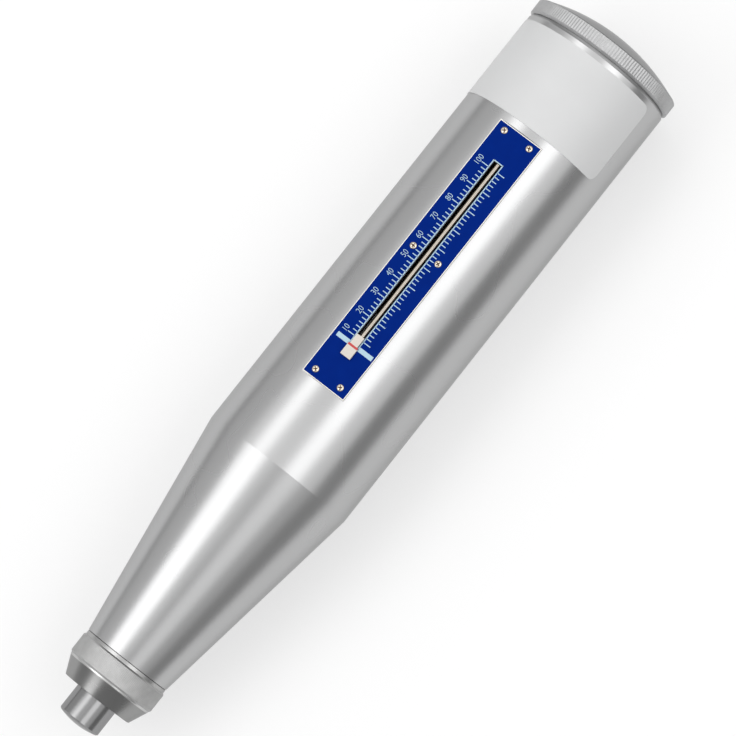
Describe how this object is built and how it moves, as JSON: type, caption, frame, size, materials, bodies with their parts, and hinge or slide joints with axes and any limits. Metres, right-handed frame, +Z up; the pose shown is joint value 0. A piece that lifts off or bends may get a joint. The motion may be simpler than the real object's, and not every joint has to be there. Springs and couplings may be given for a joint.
{
  "type": "rebound hammer",
  "caption": "Spring-driven concrete test hammer: turned aluminium tube with a cone front, round plunger, knurled end caps and a slotted blue scale plate with a sliding rider.",
  "frame": {"origin": "on the table the hammer lies on, below the middle of the overall length and of the width", "axes": "+X along the tube from the plunger to the rear cover, +Z up through the scale plate, +Y to the side that is on the left in the picture"},
  "size_m": [0.2798, 0.055, 0.055],
  "materials": {
    "aluminium_body": "satin turned",
    "aluminium_nose": "turned, knurled band",
    "aluminium_cover": "satin turned, knurled band",
    "aluminium_inner": "machined",
    "plunger_steel": "polished",
    "hammer_steel": "ground",
    "rod_steel": "polished",
    "steel": "machined",
    "felt": "dense felt",
    "sleeve_brass": "machined",
    "plate_blue": "blue, satin, light print",
    "plate_screw_steel": "polished, round head",
    "rider_white": "white with a red line",
    "label_grey": "plain sticker",
    "spring_steel": "drawn wire",
    "button_steel": "turned"
  },
  "bodies": {
    "housing": {"housing": "aluminium_body", "nose_cap": "aluminium_nose", "ring_half_left": "steel", "ring_half_right": "steel", "felt_washer": "felt", "guide_sleeve": "sleeve_brass", "impact_spring": "spring_steel", "compression_spring": "spring_steel", "rear_cover": "aluminium_cover", "trip_screw": "steel", "lock_nut": "steel", "scale_plate": "plate_blue", "plate_screws": "plate_screw_steel", "rider_rod": "rod_steel", "blank_label": "label_grey", "button_bush": "button_steel", "button_spring": "spring_steel"},
    "carriage": {"guide_bar": "hammer_steel", "guide_disk": "aluminium_inner", "pawl_pin": "steel", "pawl_spring": "spring_steel", "buffer_spring": "spring_steel"},
    "pawl": {"pawl": "steel"},
    "hammer": {"hammer_mass": "hammer_steel"},
    "plunger": {"plunger": "plunger_steel"},
    "rider": {"rider": "rider_white", "drag_leaf": "spring_steel"},
    "button": {"push_button": "button_steel", "catch_pin": "steel"}
  },
  "joints": [
    {"name": "carriage_slide", "type": "slide", "parent": "housing", "child": "carriage", "axis": [1, 0, 0], "range_m": [-0.075, 0], "deforming": ["compression_spring"]},
    {"name": "plunger_slide", "type": "slide", "parent": "carriage", "child": "plunger", "axis": [1, 0, 0], "range_m": [0, 0.003], "stiffness_N_per_m": 1500, "deforming": ["buffer_spring"]},
    {"name": "hammer_slide", "type": "slide", "parent": "housing", "child": "hammer", "axis": [1, 0, 0], "range_m": [0, 0.075], "stiffness_N_per_m": 785, "deforming": ["impact_spring"]},
    {"name": "pawl_hinge", "type": "hinge", "parent": "carriage", "child": "pawl", "pos_m": [0.09915, 0.013, 0.0275], "axis": [0, 0, -1], "range_deg": [0, 11], "stiffness_Nm_per_rad": 0.02, "deforming": ["pawl_spring"]},
    {"name": "rider_slide", "type": "slide", "parent": "housing", "child": "rider", "axis": [1, 0, 0], "range_m": [0, 0.07]},
    {"name": "button_slide", "type": "slide", "parent": "housing", "child": "button", "axis": [0, -0.7071, 0.7071], "range_m": [0, 0.002], "stiffness_N_per_m": 500, "deforming": ["button_spring"]}
  ]
}
